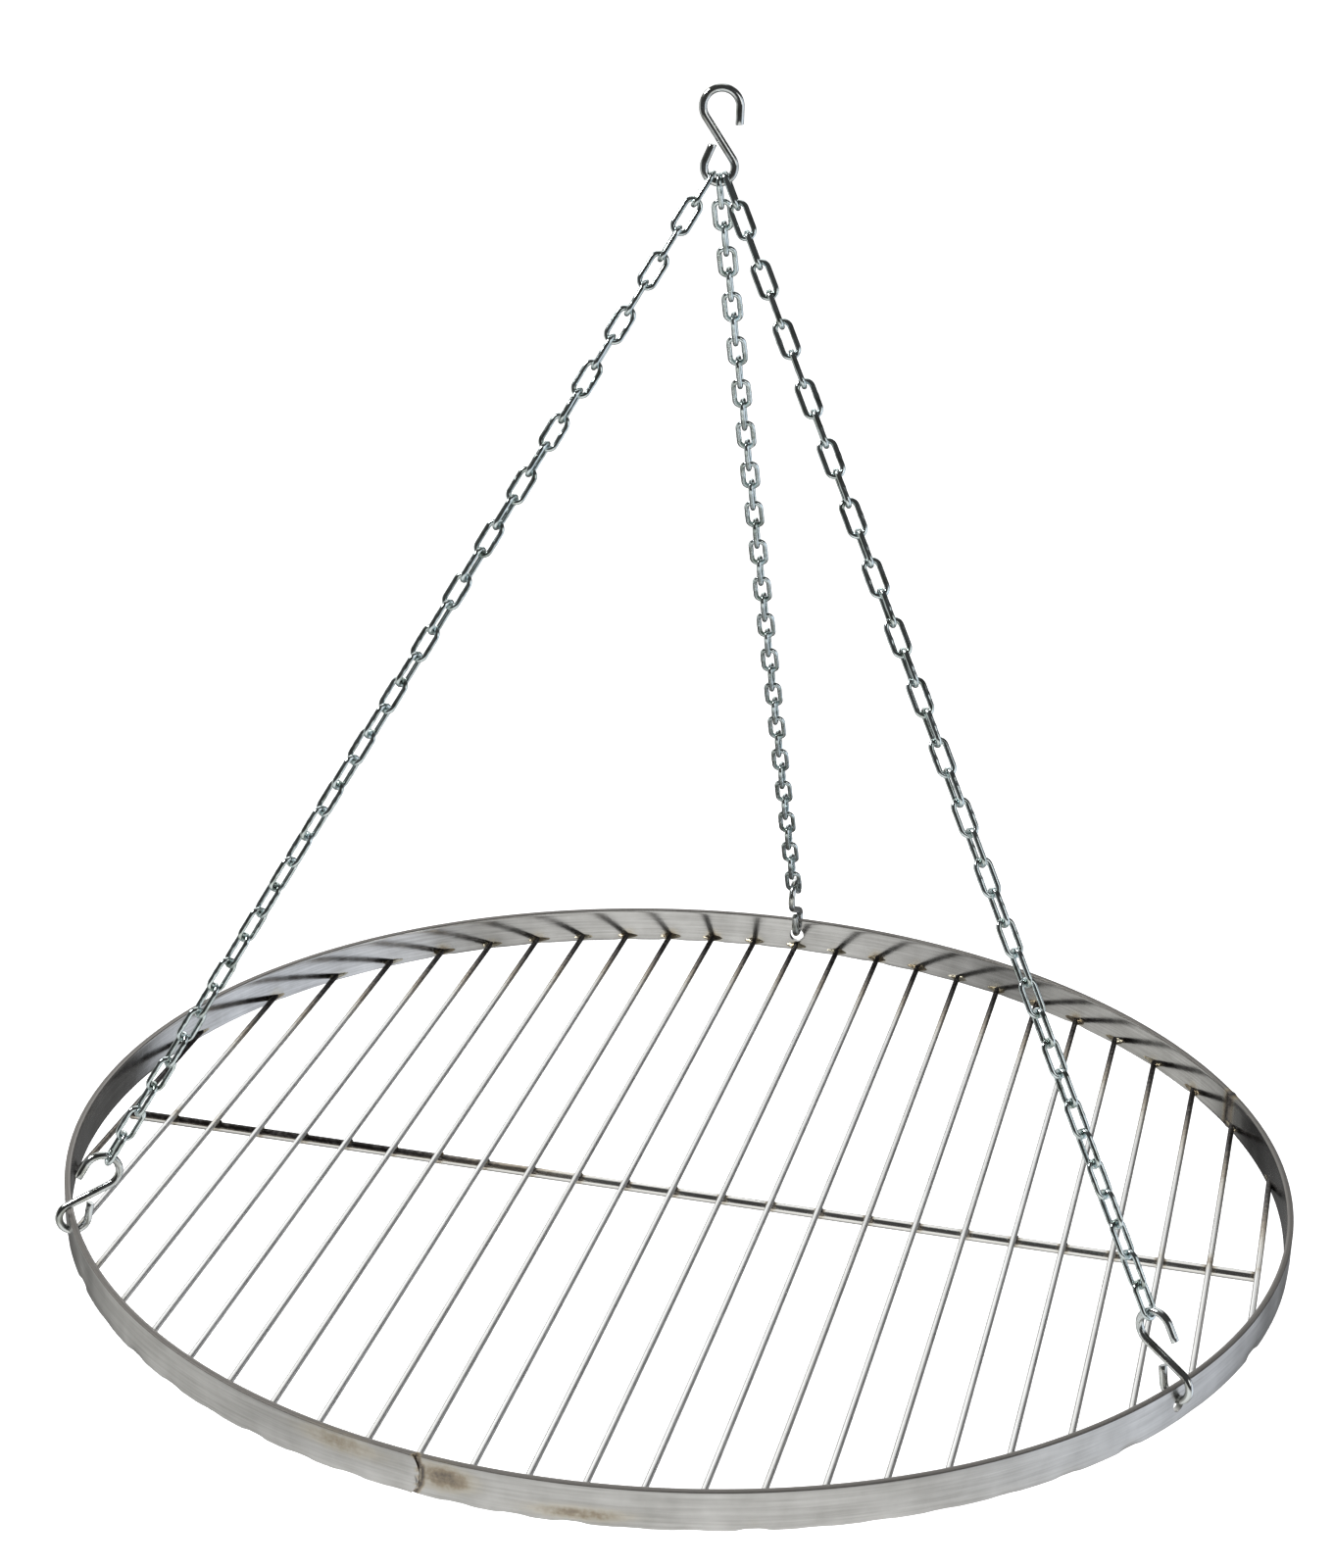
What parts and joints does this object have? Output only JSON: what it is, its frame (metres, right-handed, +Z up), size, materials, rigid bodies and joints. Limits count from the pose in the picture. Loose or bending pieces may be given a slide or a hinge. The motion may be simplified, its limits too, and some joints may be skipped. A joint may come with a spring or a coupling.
{
  "type": "hanging campfire grate",
  "caption": "Round rod grate in a flat-bar ring, hung level on welded-link chains that meet in one S-hook, for use under a campfire tripod.",
  "frame": {"origin": "the hanging point: inside top of the top hook's upper bend, which rests on the tripod's own hook", "axes": "+Z up; the rods run along Y and the rear chain leans towards +Y; +X is to the right seen from the front"},
  "size_m": [0.5999, 0.6064, 0.5447],
  "materials": {
    "ring_steel": "ground flat bar with heat tint at the welds",
    "rod_steel": "drawn round rod, scorched at the welds",
    "chain_zinc": "bright blue-white zinc plate",
    "hook_zinc": "bright zinc plate"
  },
  "bodies": {
    "top_hook": {"top_hook": "hook_zinc"},
    "grate": {"ring_long_arc": "ring_steel", "ring_short_arc": "ring_steel", "cross_bar": "rod_steel", "rod_01": "rod_steel", "rod_02": "rod_steel", "rod_03": "rod_steel", "rod_04": "rod_steel", "rod_05": "rod_steel", "rod_06": "rod_steel", "rod_07": "rod_steel", "rod_08": "rod_steel", "rod_09": "rod_steel", "rod_10": "rod_steel", "rod_11": "rod_steel", "rod_12": "rod_steel", "rod_13": "rod_steel", "rod_14": "rod_steel", "rod_15": "rod_steel", "rod_16": "rod_steel", "rod_17": "rod_steel", "rod_18": "rod_steel", "rod_19": "rod_steel", "rod_20": "rod_steel", "rod_21": "rod_steel", "rod_22": "rod_steel", "rod_23": "rod_steel", "rod_24": "rod_steel", "rod_25": "rod_steel", "rear_chain": "chain_zinc", "rear_ring_hook": "hook_zinc"},
    "left_chain": {"left_chain": "chain_zinc", "left_ring_hook": "hook_zinc"},
    "right_chain": {"right_chain": "chain_zinc", "right_ring_hook": "hook_zinc"}
  },
  "joints": [
    {"name": "grate_swing", "type": "hinge", "parent": "top_hook", "child": "grate", "pos_m": [0.00023, 0.00005, -0.03965], "axis": [0.9781, 0.2079, 0], "range_deg": [-20, 20]},
    {"name": "left_chain_swing", "type": "hinge", "parent": "top_hook", "child": "left_chain", "pos_m": [-0.0041, -0.00087, -0.03821], "axis": [0.9781, 0.2079, 0], "range_deg": [-20, 20]},
    {"name": "right_chain_swing", "type": "hinge", "parent": "top_hook", "child": "right_chain", "pos_m": [0.00372, 0.00079, -0.03849], "axis": [0.9781, 0.2079, 0], "range_deg": [-20, 20]}
  ],
  "couplings": [
    {"joint": "left_chain_swing", "follows": "grate_swing", "ratio": 1},
    {"joint": "right_chain_swing", "follows": "grate_swing", "ratio": 1}
  ]
}
